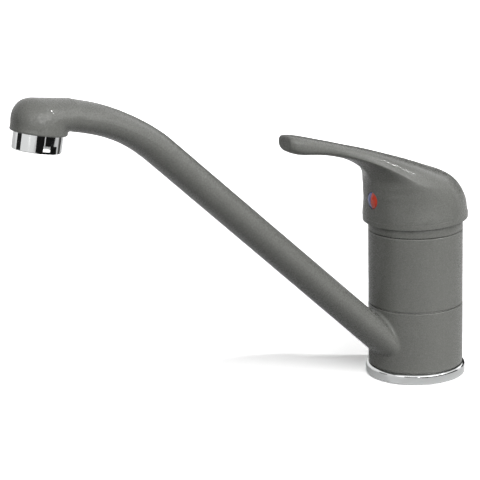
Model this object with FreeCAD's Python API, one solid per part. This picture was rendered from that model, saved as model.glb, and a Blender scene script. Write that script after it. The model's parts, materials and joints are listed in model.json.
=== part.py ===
import FreeCAD, Part
import math
import os
from FreeCAD import Matrix, Vector

# Single-lever kitchen mixer tap with a low swivelling spout. Millimetres.
# Origin: centre of the base on the worktop. +Z is up, the spout and the lever reach towards -Y.

# Column
body_d = 50.8
body_h = 40.4
body_floor = 10.0
collar_proud = 0.1
collar_h = 33.3
collar_bore_d = 40.0
swivel_gap = 0.4
edge_round = 0.6

# Base ring and foot
ring_proud = 1.5
ring_h = 5.8
ring_chamfer = 1.4
foot_thread_d = 34.0
foot_recess = 0.8
gasket_w = 3.5
gasket_inset = 1.0
gasket_h = 1.5
gasket_proud = 0.3

# Swivel bearing and seals
slip_t = 1.1
slip_w = 4.1
seal_w = 3.0
seal_depth = 2.4
seal_inset = 2.2
channel_depth = 2.9
fit_run = 0.05
fit_seat = 0.05
fit_loose = 0.3

# Water connections in the foot
inlet_thread_d = 10.0
inlet_thread_depth = 14.0
inlet_bore_d = 6.4
stud_thread_d = 8.0
stud_depth = 15.0
stud_y = 8.5
outlet_bore_d = 8.0
outlet_y = 3.0
outlet_z = 24.0
cross_bore_d = 9.0

# Cartridge
cart_d = 40.0
cart_cavity_d = 36.2
cart_neck_d = 28.6
cart_base_h = 5.0
cart_low_h = 18.0
cart_neck_h = 10.0
cart_roof_t = 4.0
peg_d = 2.8
peg_h = 2.5
peg_x = 14.5
port_r = 10.2
port_angle = 37.5
port_seal_w = 1.9
port_seal_h = 2.3
disc_seal_h = 1.8
fixed_disc_h = 4.0
moving_disc_d = 30.8
moving_disc_h = 3.5
mix_pocket_d = 14.0
mix_pocket_depth = 2.0
kidney_half_w = 2.0
kidney_sweep = 45.0
outlet_port_d = 8.4
outlet_port_y = 2.2
driver_h = 3.4
driver_d = 30.0
driver_flat = 22.0
drive_peg_d = 3.2
drive_peg_h = 2.0
drive_peg_x = 11.0
carrier_d = 24.0
carrier_flange_d = 34.8
carrier_flange_h = 2.5
guide_h = 2.6
guide_gap = 0.1
nut_thread_d = 42.0
nut_h = 12.6
nut_hex = 36.0
nut_hex_h = 5.0
neck_d = 46.4
neck_h = 4.0

# Stem
stem_side = 8.0
stem_pivot_rise = 19.0
stem_up = 30.0
stem_arm = 9.0
stem_ball_d = 4.8
stem_neck_d = 3.6
stem_hub_d = 9.2
stem_lean = 12.5
pin_d = 3.0

# Dome cover over the cartridge nut
dome_rise = 9.7
dome_hole_d = 31.0
dome_t = 1.5
dome_gap = 0.35
dome_band = 2.0
dome_shoulder = 5.5
dome_shoulder_in = 1.0
dome_shoulder_round = 7.0
dome_lip_w = 3.0
dome_lip_fall = 0.6
dome_round = 9.5

# Lever cap
cap_gap = 0.85
cap_proud = 2.7
cap_rim_dip = 2.0
cap_wall = 3.0
cap_draft = 3.5
cap_top = 29.4
cap_slope = 0.36
cap_bore_round = 13.0
cap_roof_t = 4.0
tip_round = 1.6
boss_d = 16.0
boss_start = 16.0
tunnel_d = 9.2
screw_d = 5.0
screw_l = 8.0
screw_hex = 2.5
screw_hex_depth = 3.0
plug_d = 9.0
plug_depth = 3.9
plug_proud = 0.8
plug_dome = 1.3
plug_z = 12.3
plug_stub_d = 4.2
plug_stub_l = 3.0

# Lever sections, from the cap's rim to the tip: reach and rise of the belly, reach and rise of the
# crown, half width, where between them it is widest, and the fullness of the belly and the crown.
# Reaches and half widths are in radii of the cap, rises in heights of its crown over the axis.
lever_sections = [
    (0.940, -0.051, -0.947, 0.007, 0.943, 0.50, 0.55, 0.55),
    (1.000, 0.037, -1.000, 0.088, 1.000, 0.50, 0.55, 0.55),
    (1.000, 0.255, -0.968, 0.265, 0.982, 0.50, 0.55, 0.55),
    (1.000, 0.442, -0.900, 0.442, 0.957, 0.50, 0.55, 0.56),
    (1.000, 0.510, -0.758, 0.639, 0.936, 0.49, 0.55, 0.58),
    (1.000, 0.578, -0.562, 0.789, 0.911, 0.48, 0.52, 0.61),
    (1.004, 0.646, -0.210, 0.932, 0.875, 0.46, 0.45, 0.64),
    (1.014, 0.728, 0.107, 1.051, 0.815, 0.45, 0.34, 0.67),
    (1.053, 0.857, 0.559, 1.204, 0.676, 0.44, 0.26, 0.68),
    (1.149, 0.986, 0.893, 1.313, 0.534, 0.42, 0.24, 0.68),
    (1.317, 1.116, 1.214, 1.412, 0.427, 0.38, 0.30, 0.68),
    (1.566, 1.248, 1.566, 1.510, 0.342, 0.34, 0.46, 0.66),
    (1.851, 1.340, 1.851, 1.592, 0.302, 0.40, 0.60, 0.66),
    (2.171, 1.412, 2.171, 1.680, 0.292, 0.44, 0.66, 0.68),
    (2.473, 1.449, 2.473, 1.762, 0.306, 0.46, 0.66, 0.72),
    (2.687, 1.483, 2.687, 1.813, 0.313, 0.48, 0.66, 0.75),
    (2.811, 1.524, 2.811, 1.833, 0.281, 0.50, 0.66, 0.75),
    (2.904, 1.578, 2.904, 1.833, 0.199, 0.52, 0.66, 0.75),
]

# Spout
arm_rise_angle = 42.6
arm_axis_z = 1.35
arm_end_angle = 12.7
arm_root_reach = 12.0
bend_r = 96.0
bend_steps = 6
bend_squeeze = 0.8
tube_w_root = 29.6
tube_w_tip = 24.9
tube_h_root = 16.1
tube_h_tip = 15.5
tube_wall = 2.4
oval_full = 0.5523
root_round = 1.5
head_d = 27.9
head_h = 16.65
head_fall = 0.06
head_round = 9.4
head_rim_h = 1.1
head_rim_round = 0.9
head_tilt = 10.5
head_reach = 218.1
neck_round = 0.6
neck_run = 6.41
neck_steps = 12
nipple_d = 22.0
nipple_bore_d = 18.0
nipple_rise = 4.0
head_roof_t = 2.6
chamber_bevel = 1.5
chamber_slope = 3.0

# Aerator
aerator_d = 24.0
aerator_drop = 8.6
aerator_lip = 1.8
aerator_seat = 1.0
aerator_flat = 21.8
aerator_flat_h = 4.0
aerator_thread_l = 5.0
aerator_bevel = 0.5
washer_h = 1.5
insert_h = 4.6
insert_wall = 1.2
insert_plate_t = 1.8
insert_hole_d = 1.7
insert_pitch = 2.5

# Levels that follow from the sizes
body_r = body_d / 2
ring_r = body_r + ring_proud
collar_r = body_r + collar_proud
bore_r = collar_bore_d / 2
spigot_r = bore_r - fit_run
slip_outer_r = spigot_r + slip_w
foot_r = foot_thread_d / 2
z_collar = ring_h + swivel_gap
z_collar_top = z_collar + collar_h
z_body = z_collar_top + swivel_gap
z_body_top = z_body + body_h
z_floor = z_body + body_floor
z_fixed = z_floor + cart_base_h
z_moving = z_fixed + fixed_disc_h
z_driver = z_moving + moving_disc_h
z_flange = z_driver + driver_h + guide_gap
z_house_low = z_floor + cart_base_h + cart_low_h
z_house_top = z_house_low + cart_neck_h
z_pivot = z_fixed + stem_pivot_rise
lean = math.radians(stem_lean)
rise = math.radians(arm_rise_angle)
end = math.radians(arm_end_angle)
tilt = math.radians(head_tilt)
disc_shift = stem_arm * math.sin(lean)
cap_rim_z = z_body_top + dome_gap + dome_shoulder + cap_gap
cap_r = body_r + cap_proud
plug_level = cap_rim_z + plug_z
head_r = head_d / 2
neck_rise = head_rim_h + neck_round
neck_out = head_r + neck_round
neck_reach = head_reach - neck_out * math.cos(tilt) - neck_rise * math.sin(tilt)
arm_end_reach = neck_reach - neck_run
bend_reach = arm_end_reach + bend_r * math.sin(end)
arm_straight = (bend_reach - bend_r * math.sin(rise)) / math.cos(rise)
bend_z = arm_axis_z + arm_straight * math.sin(rise) - bend_r * math.cos(rise)
arm_end_z = bend_z + bend_r * math.cos(end)
neck_z = arm_end_z + neck_run * math.tan(end) - tube_h_tip / 2 / math.cos(end)
head_rim_z = neck_z + neck_out * math.sin(tilt) - neck_rise * math.cos(tilt)


def cylinder(radius, z0, z1, x=0.0, y=0.0):
    return Part.makeCylinder(radius, z1 - z0, Vector(x, y, z0))


def tube(outer, inner, z0, z1, x=0.0, y=0.0):
    return cylinder(outer, z0, z1, x, y).cut(cylinder(inner, z0, z1, x, y))


def box(x0, x1, y0, y1, z0, z1):
    return Part.makeBox(x1 - x0, y1 - y0, z1 - z0, Vector(x0, y0, z0))


def turned(points):
    """Solid of revolution about Z. Each point is (radius, z); a third value bulges the run that
    ends there: it is the arc's radius, positive when the arc is convex outwards."""
    edges = []
    count = len(points)
    for index in range(count):
        start = points[index - 1]
        end = points[index]
        a = Vector(start[0], 0, start[1])
        b = Vector(end[0], 0, end[1])
        if len(end) == 3:
            edges.append(arc_edge(a, b, end[2]))
        else:
            edges.append(Part.makeLine(a, b))
    face = Part.Face(Part.Wire(edges))
    return face.revolve(Vector(0, 0, 0), Vector(0, 0, 1), 360)


def arc_edge(a, b, radius):
    """Arc from a to b in the XZ plane; a positive radius bulges to the right of the run."""
    chord = b - a
    half = chord.Length / 2
    side = Vector(chord.z, 0, -chord.x).normalize()
    sagitta = abs(radius) - math.sqrt(radius * radius - half * half)
    middle = (a + b) * 0.5 + side * math.copysign(sagitta, radius)
    return Part.Arc(a, middle, b).toShape()


def fused(shapes):
    solid = shapes[0]
    for shape in shapes[1:]:
        solid = solid.fuse(shape)
    return solid


def cut_all(solid, tools):
    for tool in tools:
        solid = solid.cut(tool)
    return solid


def save(name, shape):
    shape.exportStep("parts/" + name + ".step")


def polar(radius, degrees):
    angle = math.radians(degrees)
    return radius * math.cos(angle), radius * math.sin(angle)


def side_point(reach, z):
    """A point in the plane of symmetry, by its reach from the axis and its height."""
    return Vector(0, -reach, z)


def hexagon(across_flats, depth):
    """Hexagonal prism along +Z from the origin."""
    corner = across_flats / 2 / math.cos(math.radians(30))
    points = []
    for index in range(7):
        x, y = polar(corner, 60 * index)
        points.append(Vector(x, y, 0))
    return Part.Face(Part.makePolygon(points)).extrude(Vector(0, 0, depth))


def kidney(radius, half_width, middle, sweep, z0, z1):
    """Curved slot with round ends, centred on the Z axis."""
    ring = tube(radius + half_width, radius - half_width, z0, z1)
    beyond_ring = 2 * radius
    wedge_points = [Vector(0, 0, z0)]
    for turn in (-0.5, 0.0, 0.5):
        x, y = polar(beyond_ring, middle + turn * sweep)
        wedge_points.append(Vector(x, y, z0))
    wedge_points.append(Vector(0, 0, z0))
    wedge = Part.Face(Part.makePolygon(wedge_points)).extrude(Vector(0, 0, z1 - z0))
    slot = ring.common(wedge)
    for turn in (-0.5, 0.5):
        x, y = polar(radius, middle + turn * sweep)
        slot = slot.fuse(cylinder(half_width, z0, z1, x, y))
    return slot


# Positions of the two supply ports, cold and hot, and of the mixed-water port
supply_ports = [polar(port_r, -90 - port_angle), polar(port_r, -90 + port_angle)]
mixed_port = (0.0, outlet_y)
all_ports = supply_ports + [mixed_port]
port_bore_r = inlet_bore_d / 2


def body_casting():
    channel_r = spigot_r - channel_depth
    groove_r = spigot_r - seal_depth
    z_shoulder = ring_h + slip_t + fit_seat
    z_low_seal = z_shoulder + seal_inset
    z_high_seal = z_body - swivel_gap - seal_inset - seal_w
    outline = [
        (0, foot_recess),
        (foot_r, foot_recess),
        (foot_r, z_shoulder),
        (spigot_r, z_shoulder),
        (spigot_r, z_low_seal),
        (groove_r, z_low_seal),
        (groove_r, z_low_seal + seal_w),
        (spigot_r, z_low_seal + seal_w),
        (spigot_r, z_low_seal + seal_w + seal_inset),
        (channel_r, z_low_seal + seal_w + seal_inset),
        (channel_r, z_high_seal - seal_inset),
        (spigot_r, z_high_seal - seal_inset),
        (spigot_r, z_high_seal),
        (groove_r, z_high_seal),
        (groove_r, z_high_seal + seal_w),
        (spigot_r, z_high_seal + seal_w),
        (spigot_r, z_body),
        (body_r - edge_round, z_body),
        (body_r, z_body + edge_round, edge_round),
        (body_r, z_body_top - edge_round),
        (body_r - edge_round, z_body_top, edge_round),
        (neck_d / 2, z_body_top),
        (neck_d / 2, z_body_top + neck_h),
        (0, z_body_top + neck_h),
    ]
    casting = turned(outline)
    tools = [
        cylinder(cart_d / 2 + fit_seat, z_floor, z_house_low),
        cylinder(nut_thread_d / 2, z_house_low, z_body_top + neck_h),
        cylinder(outlet_bore_d / 2, outlet_z, z_floor, 0, outlet_y),
        cylinder(stud_thread_d / 2, foot_recess, foot_recess + stud_depth, 0, stud_y),
        Part.makeCylinder(
            cross_bore_d / 2, spigot_r, Vector(0, outlet_y, outlet_z), Vector(0, 1, 0)
        ),
    ]
    for x, y in supply_ports:
        tools.append(cylinder(port_bore_r, foot_recess, z_floor, x, y))
        tools.append(
            cylinder(inlet_thread_d / 2, foot_recess, foot_recess + inlet_thread_depth, x, y)
        )
    for side in (-1, 1):
        tools.append(cylinder(peg_d / 2 + fit_seat, z_floor - peg_h - fit_seat, z_floor, side * peg_x))
    return cut_all(casting, tools)


def swivel_seal(z0):
    """Seal ring in a groove of the spigot, rounded where it meets the collar's bore."""
    inner = spigot_r - seal_depth + fit_seat
    outer = bore_r - fit_seat / 2
    low = z0 + fit_seat
    high = z0 + seal_w - fit_seat
    lip = edge_round
    return turned([
        (inner, low),
        (outer - lip, low),
        (outer, low + lip, lip),
        (outer, high - lip),
        (outer - lip, high, lip),
        (inner, high),
    ])


def swivel_seals():
    z_low = ring_h + slip_t + fit_seat + seal_inset
    z_high = z_body - swivel_gap - seal_inset - seal_w
    return swivel_seal(z_low), swivel_seal(z_high)


def slip_ring(z0):
    return tube(slip_outer_r, spigot_r + fit_seat, z0, z0 + slip_t)


def base_ring():
    inner = foot_r + fit_seat
    ring = turned([
        (inner, gasket_proud),
        (ring_r - edge_round, gasket_proud),
        (ring_r, gasket_proud + edge_round, edge_round),
        (ring_r, ring_h - ring_chamfer),
        (ring_r - ring_chamfer, ring_h, ring_chamfer),
        (inner, ring_h),
    ])
    groove_outer = ring_r - ring_chamfer - gasket_inset
    return ring.cut(tube(groove_outer, groove_outer - gasket_w, 0, gasket_h))


def base_gasket():
    outer = ring_r - ring_chamfer - gasket_inset - fit_seat
    return tube(outer, outer - gasket_w + 2 * fit_seat, 0, gasket_h)


def dome_cover():
    """Cover ring: a band that continues the body, then a flat dome with a hole for the cap's boss."""
    skirt = z_body_top + dome_gap
    top = z_body_top + dome_rise
    inner_r = neck_d / 2 + fit_seat
    hole_r = dome_hole_d / 2
    lip_r = hole_r + dome_lip_w
    return turned([
        (inner_r, skirt),
        (body_r - edge_round / 2, skirt),
        (body_r, skirt + edge_round / 2),
        (body_r, skirt + dome_band),
        (body_r - dome_shoulder_in, skirt + dome_shoulder, dome_shoulder_round),
        (lip_r, top - dome_lip_fall, dome_round),
        (hole_r, top),
        (hole_r, top - dome_t),
        (lip_r, top - dome_t - dome_lip_fall),
        (inner_r, z_body_top + neck_h + fit_loose, -dome_round),
    ])


def cartridge_base():
    base = cylinder(cart_d / 2, z_floor, z_fixed)
    for side in (-1, 1):
        base = base.fuse(cylinder(peg_d / 2, z_floor - peg_h, z_floor, side * peg_x))
    for x, y in all_ports:
        seal_r = port_bore_r + port_seal_w + fit_seat
        base = base.cut(cylinder(port_bore_r, z_floor, z_fixed, x, y))
        base = base.cut(cylinder(seal_r, z_floor, z_floor + port_seal_h, x, y))
        base = base.cut(cylinder(seal_r, z_fixed - disc_seal_h, z_fixed, x, y))
    return base.removeSplitter()


def port_seals(z0, z1):
    rings = []
    for x, y in all_ports:
        rings.append(tube(port_bore_r + port_seal_w, port_bore_r, z0, z1, x, y))
    return Part.makeCompound(rings)


def cartridge_housing():
    z_roof = z_house_low - cart_roof_t
    housing = cylinder(cart_d / 2, z_fixed, z_house_low)
    housing = housing.fuse(cylinder(cart_neck_d / 2, z_house_low, z_house_top))
    housing = housing.cut(cylinder(cart_cavity_d / 2, z_fixed, z_roof))
    return housing.cut(cylinder(carrier_d / 2 + fit_run, z_roof, z_house_top)).removeSplitter()


def fixed_disc():
    disc = cylinder(cart_cavity_d / 2 - fit_seat, z_fixed, z_moving)
    tools = [cylinder(outlet_port_d / 2, z_fixed, z_moving, 0, outlet_port_y)]
    for side in (-1, 1):
        middle = -90 + side * port_angle
        tools.append(kidney(port_r, kidney_half_w, middle, kidney_sweep, z_fixed, z_moving))
    return cut_all(disc, tools)


def moving_disc():
    disc = cylinder(moving_disc_d / 2, z_moving, z_driver, 0, disc_shift)
    pocket = cylinder(mix_pocket_d / 2, z_moving, z_moving + mix_pocket_depth)
    tools = [pocket]
    for side in (-1, 1):
        x = side * drive_peg_x
        peg_r = drive_peg_d / 2 + fit_seat
        tools.append(cylinder(peg_r, z_driver - drive_peg_h - fit_seat, z_driver, x, disc_shift))
    return cut_all(disc, tools)


def disc_driver():
    top = z_driver + driver_h
    driver = cylinder(driver_d / 2, z_driver, top, 0, disc_shift)
    reach = driver_d
    flats = box(-driver_flat / 2, driver_flat / 2, -reach, reach, z_driver, top)
    wings = cylinder(driver_d / 2, z_driver, top - guide_h, 0, disc_shift)
    driver = driver.common(flats).fuse(wings)
    for side in (-1, 1):
        x = side * drive_peg_x
        driver = driver.fuse(
            cylinder(drive_peg_d / 2, z_driver - drive_peg_h, z_driver, x, disc_shift)
        )
    socket = cylinder(stem_ball_d / 2 + fit_run, z_driver, top, 0, disc_shift)
    return driver.cut(socket).removeSplitter()


def stem_carrier():
    carrier = cylinder(carrier_d / 2, z_flange, z_house_top)
    flange = cylinder(carrier_flange_d / 2, z_flange, z_flange + carrier_flange_h)
    skirt = cylinder(carrier_flange_d / 2, z_flange - guide_h + guide_gap, z_flange)
    reach = carrier_flange_d
    half = driver_flat / 2 + guide_gap
    slide_way = box(-half, half, -reach, reach, z_flange - guide_h, z_flange)
    carrier = fused([carrier, flange, skirt.cut(slide_way)])
    slot_x = stem_side / 2 + fit_loose / 2
    slot_y = (z_house_top - z_pivot) * math.tan(lean) + stem_side / 2 / math.cos(lean) + fit_loose
    slot = box(-slot_x, slot_x, -slot_y, slot_y, z_flange, z_house_top)
    pin_hole = Part.makeCylinder(
        pin_d / 2, carrier_d, Vector(-carrier_d / 2, 0, z_pivot), Vector(1, 0, 0)
    )
    return cut_all(carrier, [slot, pin_hole])


def stem_pin():
    half = carrier_d / 2 - fit_loose
    return Part.makeCylinder(pin_d / 2, 2 * half, Vector(-half, 0, z_pivot), Vector(1, 0, 0))


def along_stem(shape):
    """Turns a shape made along +Z from the origin onto the leaning stem, about the pivot."""
    shape.rotate(Vector(0, 0, 0), Vector(1, 0, 0), stem_lean)
    shape.translate(Vector(0, 0, z_pivot))
    return shape


def stem():
    half = stem_side / 2
    hub_r = stem_hub_d / 2
    shaft = box(-half, half, -half, half, 0, stem_up)
    hub = Part.makeCylinder(hub_r, stem_side, Vector(-half, 0, 0), Vector(1, 0, 0))
    arm = Part.makeCylinder(stem_neck_d / 2, stem_arm, Vector(0, 0, -stem_arm))
    ball = Part.makeSphere(stem_ball_d / 2, Vector(0, 0, -stem_arm))
    solid = fused([shaft, hub, arm, ball])
    hole = Part.makeCylinder(
        pin_d / 2 + fit_run, stem_side, Vector(-half, 0, 0), Vector(1, 0, 0)
    )
    return along_stem(solid.cut(hole))


def cartridge_nut():
    top = z_house_low + nut_h - nut_hex_h
    thread = cylinder(nut_thread_d / 2 - fit_seat, z_house_low, top)
    head = hexagon(nut_hex, nut_hex_h)
    head.translate(Vector(0, 0, top))
    nut = thread.fuse(head)
    bore = cylinder(cart_neck_d / 2 + fit_seat, z_house_low, top + nut_hex_h)
    return nut.cut(bore).removeSplitter()


def cap_hollow():
    """Room under the cap: an upright front, a back that leans in by the draft and a roof that
    rises towards the tip, rounded where it meets the wall."""
    low_z = cap_rim_z - cap_rim_dip
    height = 2 * cap_top
    taper = height * math.tan(math.radians(cap_draft))
    low_r = cap_r - cap_wall
    low = Part.Wire(Part.makeCircle(low_r, Vector(0, 0, low_z)))
    high = Part.Wire(Part.makeCircle(low_r - taper, side_point(taper, low_z + height)))
    span = 4 * cap_r
    roof_z = cap_rim_z + cap_top - cap_roof_t
    corners = [
        side_point(-span, roof_z - cap_slope * span),
        side_point(span, roof_z + cap_slope * span),
        side_point(span, roof_z - 3 * span),
        side_point(-span, roof_z - 3 * span),
    ]
    under_roof = Part.Face(Part.makePolygon(corners + corners[:1]))
    under_roof.translate(Vector(-span, 0, 0))
    core = Part.makeLoft([low, high], True, True)
    core = core.common(under_roof.extrude(Vector(2 * span, 0, 0)))
    edges = [edge for edge in core.Edges if edge.Closed or edge.Length > cap_r]
    roof_edge = max(edges, key=lambda edge: edge.BoundBox.ZMax)
    return core.makeFillet(cap_bore_round, [roof_edge])


def quarter(a, corner, b, fullness):
    """Quarter of a rib: leaves a and reaches b square to the axes, the fuller the nearer the corner."""
    curve = Part.BezierCurve()
    curve.setPoles([a, a + (corner - a) * fullness, b + (corner - b) * fullness, b])
    return curve.toShape()


def section(belly, crown, half_width, widest, belly_full, crown_full):
    """Closed section in the plane through its belly, its crown and the X axis."""
    middle = belly + (crown - belly) * widest
    side = Vector(half_width, 0, 0)
    return Part.Wire([
        quarter(crown, crown - side, middle - side, crown_full),
        quarter(middle - side, belly - side, belly, belly_full),
        quarter(belly, belly + side, middle + side, belly_full),
        quarter(middle + side, crown + side, crown, crown_full),
    ])


def round_end(solid, direction, radius):
    """Rounds the edge of the flat end that lies farthest in this direction."""
    flat = max(solid.Faces, key=lambda face: face.CenterOfMass.dot(direction))
    return solid.makeFillet(radius, flat.Edges)


def lever_handle():
    sections = []
    for belly_reach, belly_rise, crown_reach, crown_rise, half_width, *shape in lever_sections:
        belly = side_point(belly_reach * cap_r, cap_rim_z + belly_rise * cap_top)
        crown = side_point(crown_reach * cap_r, cap_rim_z + crown_rise * cap_top)
        sections.append(section(belly, crown, half_width * cap_r, *shape))
    bevel = Part.makeLoft(sections[:2], True, True)
    shell = Part.makeLoft(sections[1:], True, False)
    shell = round_end(shell, Vector(0, -1, 0), tip_round)
    outer = fused([bevel, shell])
    boss = along_stem(Part.makeCylinder(boss_d / 2, stem_up, Vector(0, 0, boss_start)))
    tunnel = Part.makeCylinder(
        tunnel_d / 2, cap_r - cap_wall / 2, side_point(0, plug_level), Vector(0, -1, 0)
    )
    hollow = cap_hollow().cut(boss).cut(tunnel)
    half = stem_side / 2 + fit_seat
    socket = along_stem(box(-half, half, -half, half, 0, stem_up + fit_loose))
    screw_hole = Part.makeCylinder(
        screw_d / 2 + fit_seat, cap_r, side_point(0, plug_level), Vector(0, -1, 0)
    )
    recess = Part.makeCylinder(
        plug_d / 2 + fit_seat, cap_r, side_point(cap_r - plug_depth, plug_level), Vector(0, -1, 0)
    )
    return cut_all(outer, [hollow, socket, screw_hole, recess])


def set_screw():
    screw_top = plug_level + screw_d / 2 - z_pivot
    start = screw_top * math.tan(lean) + stem_side / 2 / math.cos(lean) + fit_seat
    screw = Part.makeCylinder(screw_d / 2, screw_l, side_point(start, plug_level), Vector(0, -1, 0))
    key = hexagon(screw_hex, screw_hex_depth)
    key.rotate(Vector(0, 0, 0), Vector(1, 0, 0), 90)
    key.translate(side_point(start + screw_l - screw_hex_depth, plug_level))
    return screw.cut(key)


def indicator_plug():
    back = cap_r - plug_depth
    plug_l = plug_depth + plug_proud
    plug = Part.makeCylinder(plug_d / 2, plug_l, side_point(back, plug_level), Vector(0, -1, 0))
    crown_r = (plug_d * plug_d / 4 + plug_dome * plug_dome) / 2 / plug_dome
    crown = Part.makeSphere(crown_r, side_point(back + plug_l - crown_r, plug_level))
    stub = Part.makeCylinder(
        plug_stub_d / 2, plug_stub_l, side_point(back - plug_stub_l, plug_level), Vector(0, -1, 0)
    )
    return plug.common(crown).fuse(stub)


def arm_sections(wall):
    """Oval sections of the arm, or of its waterway when a wall is given: one inside the collar,
    the steps of the bend and one at the head's neck. The oval shrinks evenly along the arm and
    is squeezed a little in the middle of the bend."""
    straight = arm_straight - arm_root_reach / math.cos(rise)
    length = straight + bend_r * (rise - end)
    root_z = arm_axis_z + arm_root_reach * math.tan(rise)
    stations = [(side_point(arm_root_reach, root_z), rise, 0.0, 0.0)]
    for index in range(bend_steps + 1):
        angle = rise + (end - rise) * index / bend_steps
        reach = bend_reach - bend_r * math.sin(angle)
        point = side_point(reach, bend_z + bend_r * math.cos(angle))
        share = (straight + bend_r * (rise - angle)) / length
        squeeze = bend_squeeze * math.sin(math.pi * index / bend_steps) ** 2
        stations.append((point, angle, share, squeeze))
    sections = []
    for point, angle, share, squeeze in stations:
        half_width = (tube_w_root + (tube_w_tip - tube_w_root) * share) / 2 - wall
        height = tube_h_root + (tube_h_tip - tube_h_root) * share - squeeze
        up = Vector(0, math.sin(angle), math.cos(angle)) * (height / 2 - wall)
        sections.append(section(point - up, point + up, half_width, 0.5, oval_full, oval_full))
    sections.append(neck_section(0.0, wall))
    return sections


def neck_section(turn, wall):
    """Section of the head in a plane through the neck's rounding. A turn of 0 is the arm's end
    and a turn of 1 the circle above the rim."""
    angle = (1 - turn) * math.pi / 2
    across = math.cos(angle)
    climb = math.sin(angle)
    start = Vector(0, neck_out, head_rim_h)
    ray = Vector(0, -across, climb)
    belly = start + ray * (neck_round + wall)
    crown = start + ray * (head_depth(start, ray) - wall)
    half_width = tube_w_tip / 2 + (head_r - tube_w_tip / 2) * across ** 2 - wall
    return section(outlet_point(belly), outlet_point(crown), half_width, 0.5, oval_full, oval_full)


def head_depth(start, ray):
    """How far a ray from the neck goes until it leaves the head: through the top, which falls
    a little outwards, the upright wall or the rounding between them."""
    depth = (head_h + head_fall * start.y - start.z) / (ray.z - head_fall * ray.y)
    if ray.y < 0:
        depth = min(depth, (head_r + start.y) / -ray.y)
    fall_angle = math.atan(head_fall)
    centre_out = head_r - head_round
    centre_up = head_h - head_fall * centre_out - head_round / math.cos(fall_angle)
    centre = Vector(0, -centre_out, centre_up)
    leaves = start + ray * depth - centre
    if leaves.y < -head_round * math.sin(fall_angle) and leaves.z > 0:
        nearest = (centre - start).dot(ray)
        off = (centre - start).Length ** 2 - nearest ** 2
        depth = nearest + math.sqrt(head_round ** 2 - off)
    return depth


def waterway():
    """The hollow of the arm, which runs straight on from the neck to the middle of the head."""
    sections = arm_sections(tube_wall)
    run_on = Vector(0, -math.cos(tilt), math.sin(tilt)) * head_r
    return fused([
        Part.makeLoft(sections[:2], True, True),
        Part.makeLoft(sections[1:], True, False),
        Part.Face(sections[-1]).extrude(run_on),
    ])


def outlet_point(point):
    """Turns a point of the upright head onto the tilted outlet."""
    along_y = point.y * math.cos(tilt) + point.z * math.sin(tilt)
    along_z = point.z * math.cos(tilt) - point.y * math.sin(tilt)
    return Vector(point.x, along_y - head_reach, along_z + head_rim_z)


def on_outlet(shape):
    """Places a shape made about the Z axis, with the rim at z = 0, onto the tilted outlet."""
    shape.rotate(Vector(0, 0, 0), Vector(1, 0, 0), -head_tilt)
    shape.translate(side_point(head_reach, head_rim_z))
    return shape


def round_root(solid):
    """Rounds the seam where the arm leaves the collar."""
    low = z_collar + edge_round
    high = z_collar_top - edge_round
    seam = []
    for edge in solid.Edges:
        reach = edge.BoundBox
        if reach.ZMin > low and reach.ZMax < high and reach.YMax < 0:
            seam.append(edge)
    return solid.makeFillet(root_round, seam)


def spout():
    collar = turned([
        (0, z_collar),
        (collar_r - edge_round, z_collar),
        (collar_r, z_collar + edge_round, edge_round),
        (collar_r, z_collar_top - edge_round),
        (collar_r - edge_round, z_collar_top, edge_round),
        (0, z_collar_top),
    ])
    arm = arm_sections(0.0)
    head = [neck_section(index / neck_steps, 0.0) for index in range(neck_steps + 1)]
    rim_drop = outlet_point(Vector(0, 0, -head_rim_h)) - outlet_point(Vector(0, 0, 0))
    rim = Part.Face(head[-1]).extrude(rim_drop)
    rim = round_end(rim, rim_drop, head_rim_round)
    straight = Part.makeLoft(arm[:2], True, True)
    solid = round_root(fused([collar, straight]))
    solid = fused([
        solid,
        Part.makeLoft(arm[1:], True, False),
        Part.makeLoft(head, True, False),
        rim,
    ])
    slip_room = slip_t - swivel_gap
    slip_r = slip_outer_r + fit_loose
    skirt_r = aerator_d / 2 + fit_loose
    recess = tube(skirt_r, nipple_d / 2, 0, aerator_thread_l)
    outlet = cylinder(nipple_bore_d / 2, 0, nipple_rise)
    chamber_r = nipple_bore_d / 2
    chamber_top = head_h - head_roof_t
    chamber = turned([
        (0, nipple_rise),
        (chamber_r, nipple_rise),
        (chamber_r + chamber_bevel, nipple_rise + chamber_bevel),
        (chamber_r, chamber_top - chamber_slope),
        (chamber_r - chamber_slope, chamber_top),
        (0, chamber_top),
    ])
    tools = [
        waterway(),
        on_outlet(chamber),
        on_outlet(outlet),
        on_outlet(recess),
        cylinder(bore_r, z_collar, z_collar_top),
        cylinder(slip_r, z_collar, z_collar + slip_room),
        cylinder(slip_r, z_collar_top - slip_room, z_collar_top),
    ]
    return cut_all(solid, tools)


def aerator_housing():
    outer = aerator_d / 2
    lip_r = outer - aerator_lip
    thread_r = nipple_d / 2 + fit_seat
    bottom = -aerator_drop
    seat = bottom + aerator_seat
    shell = turned([
        (lip_r, bottom),
        (outer - aerator_bevel, bottom),
        (outer, bottom + aerator_bevel),
        (outer, aerator_thread_l - fit_loose),
        (thread_r, aerator_thread_l - fit_loose),
        (thread_r, seat),
        (lip_r, seat),
    ])
    reach = aerator_d
    half = aerator_flat / 2
    flats = cylinder(reach, bottom, bottom + aerator_flat_h)
    flats = flats.cut(box(-half, half, -reach, reach, bottom, bottom + aerator_flat_h))
    return on_outlet(shell.cut(flats))


def aerator_washer():
    return on_outlet(tube(nipple_d / 2 - fit_seat, nipple_bore_d / 2, -washer_h, 0))


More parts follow.
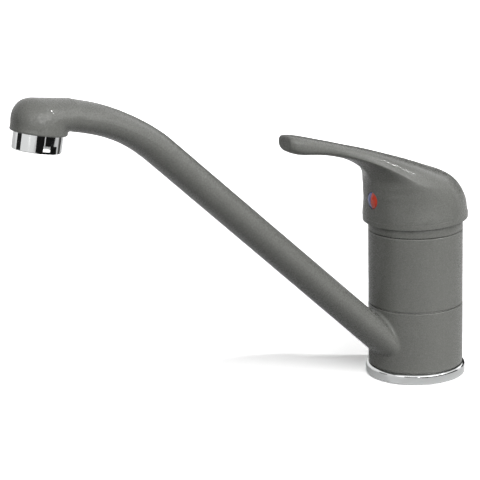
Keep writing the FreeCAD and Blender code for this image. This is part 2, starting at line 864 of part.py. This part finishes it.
def aerator_insert():
    """Flow insert: a drilled plate in a short cup."""
    radius = nipple_d / 2 - fit_seat
    top = -washer_h
    bottom = top - insert_h
    insert = cylinder(radius, bottom, top)
    insert = insert.cut(cylinder(radius - insert_wall, bottom + insert_plate_t, top))
    step = insert_pitch
    for row in range(-3, 4):
        for column in range(-3, 4):
            x = (column + 0.5 * (row % 2)) * step
            y = row * step * math.sin(math.radians(60))
            if math.hypot(x, y) < radius - 2 * insert_wall:
                hole = cylinder(insert_hole_d / 2, bottom, bottom + insert_plate_t, x, y)
                insert = insert.cut(hole)
    return on_outlet(insert)


os.makedirs("parts", exist_ok=True)
lower_seal, upper_seal = swivel_seals()
pieces = {
    "body_casting": body_casting(),
    "base_ring": base_ring(),
    "base_gasket": base_gasket(),
    "slip_ring_lower": slip_ring(ring_h),
    "slip_ring_upper": slip_ring(z_body - slip_t),
    "spout_seal_lower": lower_seal,
    "spout_seal_upper": upper_seal,
    "dome_cover": dome_cover(),
    "cartridge_nut": cartridge_nut(),
    "cartridge_base": cartridge_base(),
    "port_seals": port_seals(z_floor, z_floor + port_seal_h),
    "disc_seals": port_seals(z_fixed - disc_seal_h, z_fixed),
    "cartridge_housing": cartridge_housing(),
    "fixed_disc": fixed_disc(),
    "moving_disc": moving_disc(),
    "disc_driver": disc_driver(),
    "stem_carrier": stem_carrier(),
    "stem_pin": stem_pin(),
    "stem": stem(),
    "lever_handle": lever_handle(),
    "set_screw": set_screw(),
    "indicator_plug": indicator_plug(),
    "spout": spout(),
    "aerator_housing": aerator_housing(),
    "aerator_washer": aerator_washer(),
    "aerator_insert": aerator_insert(),
}
for name, piece in pieces.items():
    save(name, piece)
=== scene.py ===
import json
import math

import bmesh
import bpy
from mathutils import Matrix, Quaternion, Vector


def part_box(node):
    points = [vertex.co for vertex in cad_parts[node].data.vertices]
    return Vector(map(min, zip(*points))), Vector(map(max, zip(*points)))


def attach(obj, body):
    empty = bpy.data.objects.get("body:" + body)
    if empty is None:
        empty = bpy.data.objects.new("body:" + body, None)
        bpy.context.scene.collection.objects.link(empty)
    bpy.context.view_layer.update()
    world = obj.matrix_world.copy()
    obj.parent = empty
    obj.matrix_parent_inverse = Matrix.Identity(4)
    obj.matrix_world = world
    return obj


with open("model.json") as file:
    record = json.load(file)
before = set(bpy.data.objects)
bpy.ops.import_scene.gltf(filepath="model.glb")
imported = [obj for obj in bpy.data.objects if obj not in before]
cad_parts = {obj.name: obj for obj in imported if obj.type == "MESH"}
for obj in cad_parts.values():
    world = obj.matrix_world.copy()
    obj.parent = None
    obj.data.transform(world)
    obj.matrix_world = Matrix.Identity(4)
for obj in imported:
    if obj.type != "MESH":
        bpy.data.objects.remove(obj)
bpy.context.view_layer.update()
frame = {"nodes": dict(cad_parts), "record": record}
nodes = frame["nodes"]
mm_per_metre = 1000

# Camera of the photograph: lens and sensor in millimetres, places in metres, roll in degrees
camera_lens = 150
camera_sensor = 36
camera_place = Vector((0.8483, -0.6051, 0.3510))
camera_target = Vector((-0.02114, -0.09671, 0.08385))
camera_roll = -1.33

# Skirt of the lever's cap, in millimetres
# Its outer radius by direction, in degrees, from -90 at the blade over either side to 90 at the back
skirt_radii = [(-90, 28.06), (-60, 28.30), (-35, 28.40), (-10, 28.22), (20, 28.03), (90, 28.03)]
skirt_height = 2.75
skirt_inner_height = 0.6
skirt_depth = 1.6
# Its lower outer edge is broken this far inwards and upwards
skirt_break_in = 0.2
skirt_break_up = 0.15
# Its foot lies this far over the handle's lowest point at the cap's axis, and rises to the back
skirt_rise = 0.85
skirt_slope = 0.032
# It has this many faces round, and its edges over this angle, in degrees, stay sharp
skirt_steps = 128
skirt_sharp_angle = 35

# Floor: its side in metres, and what its paint gives back of the light, to the object and to the eye
floor_side = 12
floor_bounce = 0.08
floor_white = 2.3
# A little glow brightens its shadow to the eye, and reflections show this share of what the eye sees
floor_glow = 0.05
floor_mirrored = 0.42

# Dark cards: azimuths of both ends in degrees, distance and height in metres
cards = [
    (-126, -102, 1.6, 0.6),
    (96, 150, 1.6, 0.6),
    (-60, -30, 0.38, 0.2),
    (-25, 75, 0.38, 0.2),
]
card_steps = 8
card_level = 0.01

# Suns: azimuth, elevation and spread in degrees, and strength
suns = [
    (-60, 24, 44, 0.35),
    (-30, 24, 44, 0.6),
    (0, 24, 44, 1.6),
    (30, 24, 44, 0.6),
    (110, 22, 30, 0.15),
    (54, 50, 4, 0.75),
]
back_sun = (172, 22, 30, 0.7)


# Objects
def add_object(name, data):
    """A new object of this data, in the scene."""
    added = bpy.data.objects.new(name, data)
    bpy.context.scene.collection.objects.link(added)
    return added


def add_camera():
    """Camera at the photograph's viewing angle."""
    data = bpy.data.cameras.new("camera")
    data.sensor_width = camera_sensor
    data.lens = camera_lens
    camera = add_object("camera", data)
    camera.location = camera_place
    level = (camera_target - camera.location).to_track_quat("-Z", "Y")
    camera.rotation_mode = "QUATERNION"
    camera.rotation_quaternion = level @ Quaternion((0, 0, 1), math.radians(camera_roll))
    bpy.context.scene.camera = camera


# Nodes
def feed(tree, socket, value):
    """Links an output to this input, or sets the input to a number, a vector or a colour."""
    if isinstance(value, bpy.types.NodeSocket):
        tree.links.new(value, socket)
    elif socket.type == "RGBA":
        socket.default_value = (*value, 1)
    else:
        socket.default_value = value


def add_node(tree, kind, inputs, **settings):
    """A new node with these settings; what feeds its inputs goes by their names or numbers."""
    node = tree.nodes.new("ShaderNode" + kind)
    for name, value in settings.items():
        setattr(node, name, value)
    for key, value in inputs.items():
        feed(tree, node.inputs[key], value)
    return node


def calculated(tree, operation, *values, **settings):
    """Result of a calculation with outputs and numbers."""
    inputs = dict(enumerate(values))
    return add_node(tree, "Math", inputs, operation=operation, **settings).outputs["Value"]


# Materials
class Shader:
    """A material with a principled surface, and the patterns that feed it."""

    def __init__(self, name, **values):
        self.material = bpy.data.materials.new(name)
        self.material.use_nodes = True
        self.tree = self.material.node_tree
        self.surface = self.tree.nodes["Principled BSDF"]
        self.place = self.node("TexCoord", {}).outputs["Object"]
        self.set(**values)

    def set(self, **values):
        """Feeds the surface's inputs, which are written with _ for each space."""
        for name, value in values.items():
            feed(self.tree, self.surface.inputs[name.replace("_", " ")], value)

    def node(self, kind, inputs, **settings):
        """A new node in this material."""
        return add_node(self.tree, kind, inputs, **settings)

    def noise(self, size_mm, detail=3.0, stretch=(1, 1, 1)):
        """Cloudy grain of about this size, from 0 to 1."""
        place = self.node("Mapping", {"Vector": self.place, "Scale": stretch}).outputs["Vector"]
        inputs = {"Vector": place, "Scale": mm_per_metre / size_mm, "Detail": detail}
        return self.node("TexNoise", inputs).outputs["Fac"]

    def cells(self, size_mm):
        """Cells of about this size, each with a random colour of its own."""
        inputs = {"Vector": self.place, "Scale": mm_per_metre / size_mm}
        return self.node("TexVoronoi", inputs).outputs["Color"]

    def part(self, color, name):
        """One part of a colour by its name: Red, Green or Blue."""
        return self.node("SeparateColor", {"Color": color}).outputs[name]

    def normal(self):
        """The surface's own normal."""
        return self.node("NewGeometry", {}).outputs["Normal"]

    def vector_math(self, operation, *vectors, result="Vector"):
        """Result of a calculation with vectors."""
        return self.node("VectorMath", dict(enumerate(vectors)), operation=operation).outputs[result]

    def tilted(self, color, amount):
        """The normal, leaning by up to about half this amount as a random colour says."""
        lean = self.vector_math("SUBTRACT", color, (0.5, 0.5, 0.5))
        lean = self.vector_math("MULTIPLY", lean, (amount, amount, amount))
        return self.vector_math("NORMALIZE", self.vector_math("ADD", self.normal(), lean))

    def edge_wear_and_highlight(self, radius_mm, strength, full_mark_at=0.80, whole=0.985):
        """This strength on sharp edges, and 0 where the rounded normal is like the plain one; it
        marks edge wear and a painted highlight.
        """
        inputs = {"Radius": radius_mm / mm_per_metre}
        rounded = self.node("Bevel", inputs, samples=4).outputs["Normal"]
        alike = self.vector_math("DOT_PRODUCT", rounded, self.normal(), result="Value")
        return self.part(self.ramp(alike, [(full_mark_at, strength), (whole, 0.0)]), "Red")

    def ramp(self, value, stops):
        """Turns a value into colours or levels: a list of (position, grey or colour)."""
        ramp = self.node("ValToRGB", {"Fac": value})
        points = ramp.color_ramp.elements
        while len(points) < len(stops):
            points.new(0.5)
        for point, (position, color) in zip(points, stops):
            point.position = position
            color = color if hasattr(color, "__len__") else (color,) * 3
            point.color = (*color, 1)
        return ramp.outputs["Color"]

    def varied(self, noise, low, high, low_at=0.3, high_at=0.7):
        """Levels or colours from low to high, over the stretch where most of a noise lies."""
        return self.ramp(noise, [(low_at, low), (high_at, high)])

    def mix(self, share, first, second, blend="MIX"):
        """Mixes two colours; the three are outputs or plain values."""
        # The node's inputs share their names, so the ones for colours go by number
        inputs = {0: share, 6: first, 7: second}
        return self.node("Mix", inputs, data_type="RGBA", blend_type=blend).outputs[2]

    def bump(self, height, depth_mm, normal=None):
        """Roughens the surface by this depth, on its own normal or on the one given."""
        inputs = {"Height": height, "Distance": depth_mm / mm_per_metre}
        if normal:
            inputs["Normal"] = normal
        self.set(Normal=self.node("Bump", inputs).outputs["Normal"])


def coating():
    """Granite-like satin paint: fine specks, slight clouds, glossy flakes, and paler edges that are
    partly wear and partly a painted highlight.
    """
    # Colours of the specks by their cells' random values, and then of the edges, paler partly for
    # wear and partly as a painted highlight where rounded edges catch light
    speck_colors = [
        (0.0, (0.163, 0.166, 0.155)),
        (0.16, (0.187, 0.190, 0.177)),
        (0.80, (0.200, 0.203, 0.189)),
        (1.0, (0.235, 0.239, 0.223)),
    ]
    edge_wear_and_highlight_color = (0.36, 0.36, 0.34)
    # Roughness of the paint and of the glossy flakes, which are nearly half of the flakes
    satin = 0.42
    glossy = 0.14
    shader = Shader("satin_speckled_coating", Specular_IOR_Level=0.3)
    specks = shader.ramp(shader.part(shader.cells(size_mm=0.32), "Red"), speck_colors)
    clouds = shader.varied(shader.noise(size_mm=9.0), 0.94, 1.0)
    paint = shader.mix(1.0, specks, clouds, blend="MULTIPLY")
    # Edges are painted paler: partly wear, partly a painted highlight of rounded edges catching
    # light
    wear_and_highlight = shader.edge_wear_and_highlight(radius_mm=0.35, strength=0.55)
    flakes = shader.cells(size_mm=0.4)
    gloss = shader.ramp(shader.part(flakes, "Green"), [(0.50, satin), (0.56, glossy)])
    shader.set(Base_Color=shader.mix(wear_and_highlight, paint, edge_wear_and_highlight_color), Roughness=gloss)
    grain = shader.noise(size_mm=0.55, detail=2.0)
    shader.bump(grain, depth_mm=0.02, normal=shader.tilted(flakes, amount=0.15))
    return shader.material


def chrome():
    """Polished plating, a little uneven in its gloss and its form."""
    shader = Shader("polished_chrome", Base_Color=(0.66, 0.67, 0.67), Metallic=1.0)
    gloss = shader.varied(shader.noise(size_mm=2.5), 0.035, 0.09, low_at=0.35, high_at=0.75)
    shader.set(Roughness=gloss)
    shader.bump(shader.noise(size_mm=1.5), depth_mm=0.002)
    return shader.material


def turned_metal(name, color, roughness):
    """Bare metal with the fine rings that a lathe leaves round the upright axis."""
    smoother = roughness - 0.08
    rougher = roughness + 0.10
    shader = Shader(name, Base_Color=color, Metallic=1.0)
    rings = shader.noise(size_mm=0.6, detail=2.0, stretch=(0.05, 0.05, 1.0))
    shader.set(Roughness=shader.varied(rings, smoother, rougher))
    shader.bump(rings, depth_mm=0.01)
    return shader.material


def matt(name, color, roughness, grain_mm, depth_mm):
    """Moulded rubber, plastic or ceramic: slightly uneven in colour and gloss, with a fine grain."""
    dark = [0.86 * part for part in color]
    smoother = roughness - 0.06
    rougher = roughness + 0.08
    shader = Shader(name)
    tint = shader.varied(shader.noise(size_mm=4.0), dark, color)
    gloss = shader.varied(shader.noise(size_mm=1.0), smoother, rougher)
    shader.set(Base_Color=tint, Roughness=gloss)
    shader.bump(shader.noise(grain_mm), depth_mm)
    return shader.material


def indicator():
    """One half blue and one half red, meeting at the plane of symmetry."""
    blue = (0.075, 0.115, 0.46)
    red = (0.74, 0.062, 0.028)
    meeting_mm = 0.25
    shader = Shader("indicator_plastic", Roughness=0.22, Coat_Weight=0.3)
    across = shader.node("SeparateXYZ", {"Vector": shader.place}).outputs["X"]
    steepness = mm_per_metre / meeting_mm
    side = calculated(shader.tree, "MULTIPLY_ADD", across, steepness, 0.5, use_clamp=True)
    clouds = shader.varied(shader.noise(size_mm=1.2), 0.9, 1.0)
    shader.set(Base_Color=shader.mix(1.0, shader.mix(side, blue, red), clouds, blend="MULTIPLY"))
    return shader.material


def make_looks():
    """The materials, by the record's slots."""
    # After a name come its colour, its roughness, and the grain's size and depth in millimetres
    return {
        "coating": coating(),
        "chrome": chrome(),
        "brass": turned_metal("turned_brass", (0.78, 0.60, 0.32), 0.30),
        "steel": turned_metal("turned_steel", (0.62, 0.62, 0.63), 0.32),
        "rubber": matt("black_rubber", (0.028, 0.028, 0.028), 0.62, 0.4, 0.02),
        "white_plastic": matt("white_plastic", (0.72, 0.72, 0.69), 0.45, 0.3, 0.01),
        "cartridge_plastic": matt("grey_white_plastic", (0.62, 0.63, 0.62), 0.42, 0.4, 0.012),
        "carrier_plastic": matt("slate_plastic", (0.10, 0.13, 0.17), 0.40, 0.4, 0.012),
        "ceramic": matt("lapped_ceramic", (0.78, 0.76, 0.71), 0.16, 0.2, 0.002),
        "indicator": indicator(),
        "insert_plastic": matt("insert_plastic", (0.60, 0.61, 0.61), 0.36, 0.3, 0.01),
    }


def dress_nodes(looks):
    """Gives each CAD node the material of its slot."""
    for row in frame["record"]["subparts"]:
        node = nodes[row["node"]]
        node.data.materials.clear()
        node.data.materials.append(looks[row["material_slot"]])


# Pieces of the scene's own
def add_strip(name, rows, closed):
    """An object with faces between neighbouring rows of points; a closed one joins its ends."""
    mesh = bmesh.new()
    rows = [[mesh.verts.new(point) for point in row] for row in rows]
    open_ends = 0 if closed else 1
    for index in range(len(rows) - open_ends):
        row = rows[index]
        following = rows[(index + 1) % len(rows)]
        for point in range(len(row) - open_ends):
            after = (point + 1) % len(row)
            mesh.faces.new((row[point], following[point], following[after], row[after]))
    data = bpy.data.meshes.new(name)
    mesh.to_mesh(data)
    mesh.free()
    return add_object(name, data)


def skirt_radius(angle):
    """Radius of the cap's wall in a direction, in radians; the cap's two sides are alike."""
    side = math.degrees(math.asin(math.sin(angle)))
    for (low, low_radius), (high, high_radius) in zip(skirt_radii, skirt_radii[1:]):
        if side <= high:
            break
    share = (side - low) / (high - low)
    # It changes smoothly from one listed direction to the next
    share = share * share * (3 - 2 * share)
    return low_radius + (high_radius - low_radius) * share


def add_cap_skirt(material):
    """Upright lower edge of the lever's cap, over the bevel of its rim."""
    middle = mm_per_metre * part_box("lever_handle")[0][2] + skirt_rise
    # Outline as pairs: inwards from the outer radius, upwards from the foot
    outline = [
        (skirt_depth, 0.0),
        (skirt_break_in, 0.0),
        (0.0, skirt_break_up),
        (0.0, skirt_height),
        (skirt_depth, skirt_inner_height),
    ]
    rows = []
    for step in range(skirt_steps):
        angle = 2 * math.pi * step / skirt_steps
        row = []
        for inset, rise in outline:
            radius = skirt_radius(angle) - inset
            y = radius * math.sin(angle)
            place = Vector((radius * math.cos(angle), y, middle + rise + skirt_slope * y))
            row.append(place / mm_per_metre)
        rows.append(row)
    piece = add_strip("cap_skirt", rows, closed=True)
    piece.data.shade_smooth()
    piece.data.set_sharp_from_angle(angle=math.radians(skirt_sharp_angle))
    piece.data.materials.append(material)
    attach(piece, "lever")


# Studio
def direction(azimuth, elevation=0):
    """Unit vector towards a place in the sky, or on the horizon."""
    level = math.cos(math.radians(elevation))
    return Vector((
        level * math.cos(math.radians(azimuth)),
        level * math.sin(math.radians(azimuth)),
        math.sin(math.radians(elevation)),
    ))


def seen_directly(tree, mirrored=1.0):
    """1 for the camera's rays, this much in mirrors and through glass, and 0 for rays of light."""
    path = add_node(tree, "LightPath", {})
    total = path.outputs["Is Camera Ray"]
    for name in ("Is Glossy Ray", "Is Transmission Ray"):
        share = calculated(tree, "MULTIPLY", path.outputs[name], mirrored)
        total = calculated(tree, "MAXIMUM", total, share)
    return total


def floor_paint():
    """Paint that is seen white and keeps the shadow, but gives back little light."""
    material = bpy.data.materials.new("floor")
    material.use_nodes = True
    tree = material.node_tree
    tree.nodes.clear()
    seen = seen_directly(tree, floor_mirrored)
    tint = add_node(tree, "MapRange", {"Value": seen, "To Min": floor_bounce, "To Max": floor_white})
    paint = add_node(tree, "BsdfDiffuse", {"Color": tint.outputs["Result"]})
    glow = add_node(tree, "Emission", {"Strength": calculated(tree, "MULTIPLY", seen, floor_glow)})
    both = add_node(tree, "AddShader", {0: paint.outputs["BSDF"], 1: glow.outputs["Emission"]})
    add_node(tree, "OutputMaterial", {"Surface": both.outputs["Shader"]})
    return material


def add_floor():
    """Plain floor under the object."""
    bpy.ops.mesh.primitive_plane_add(size=floor_side, location=(0, 0, 0))
    floor = bpy.context.object
    floor.name = "floor"
    floor.data.materials.append(floor_paint())


def add_card(start, end, distance, height):
    """Dark upright card round the object, between two azimuths; only reflections see it."""
    rows = []
    for step in range(card_steps + 1):
        foot = direction(start + (end - start) * step / card_steps) * distance
        rows.append([foot, foot + Vector((0, 0, height))])
    card = add_strip("card", rows, closed=False)
    paint = Shader("card", Base_Color=(card_level, card_level, card_level), Roughness=1)
    card.data.materials.append(paint.material)
    card.visible_camera = False
    card.visible_diffuse = False
    card.visible_shadow = False


def add_world():
    """Even white that the camera and reflections see, and that gives no light."""
    world = bpy.data.worlds.new("studio")
    bpy.context.scene.world = world
    world.use_nodes = True
    background = world.node_tree.nodes["Background"]
    feed(world.node_tree, background.inputs["Color"], (1, 1, 1))
    feed(world.node_tree, background.inputs["Strength"], seen_directly(world.node_tree))


def add_sun(azimuth, elevation, spread, strength):
    """Light from a direction; the spread is its width in the sky."""
    data = bpy.data.lights.new("sun", "SUN")
    data.energy = strength
    data.angle = math.radians(spread)
    lamp = add_object("sun", data)
    lamp.rotation_mode = "QUATERNION"
    lamp.rotation_quaternion = (-direction(azimuth, elevation)).to_track_quat("-Z", "Y")
    return lamp


def light_scene():
    """All the lamps; the one behind is left out of reflections."""
    for sun in suns:
        add_sun(*sun)
    add_sun(*back_sun).visible_glossy = False


add_camera()
looks = make_looks()
dress_nodes(looks)
add_cap_skirt(looks["coating"])
add_floor()
for card in cards:
    add_card(*card)
add_world()
light_scene()

scene = bpy.context.scene
scene.view_settings.view_transform = "Standard"
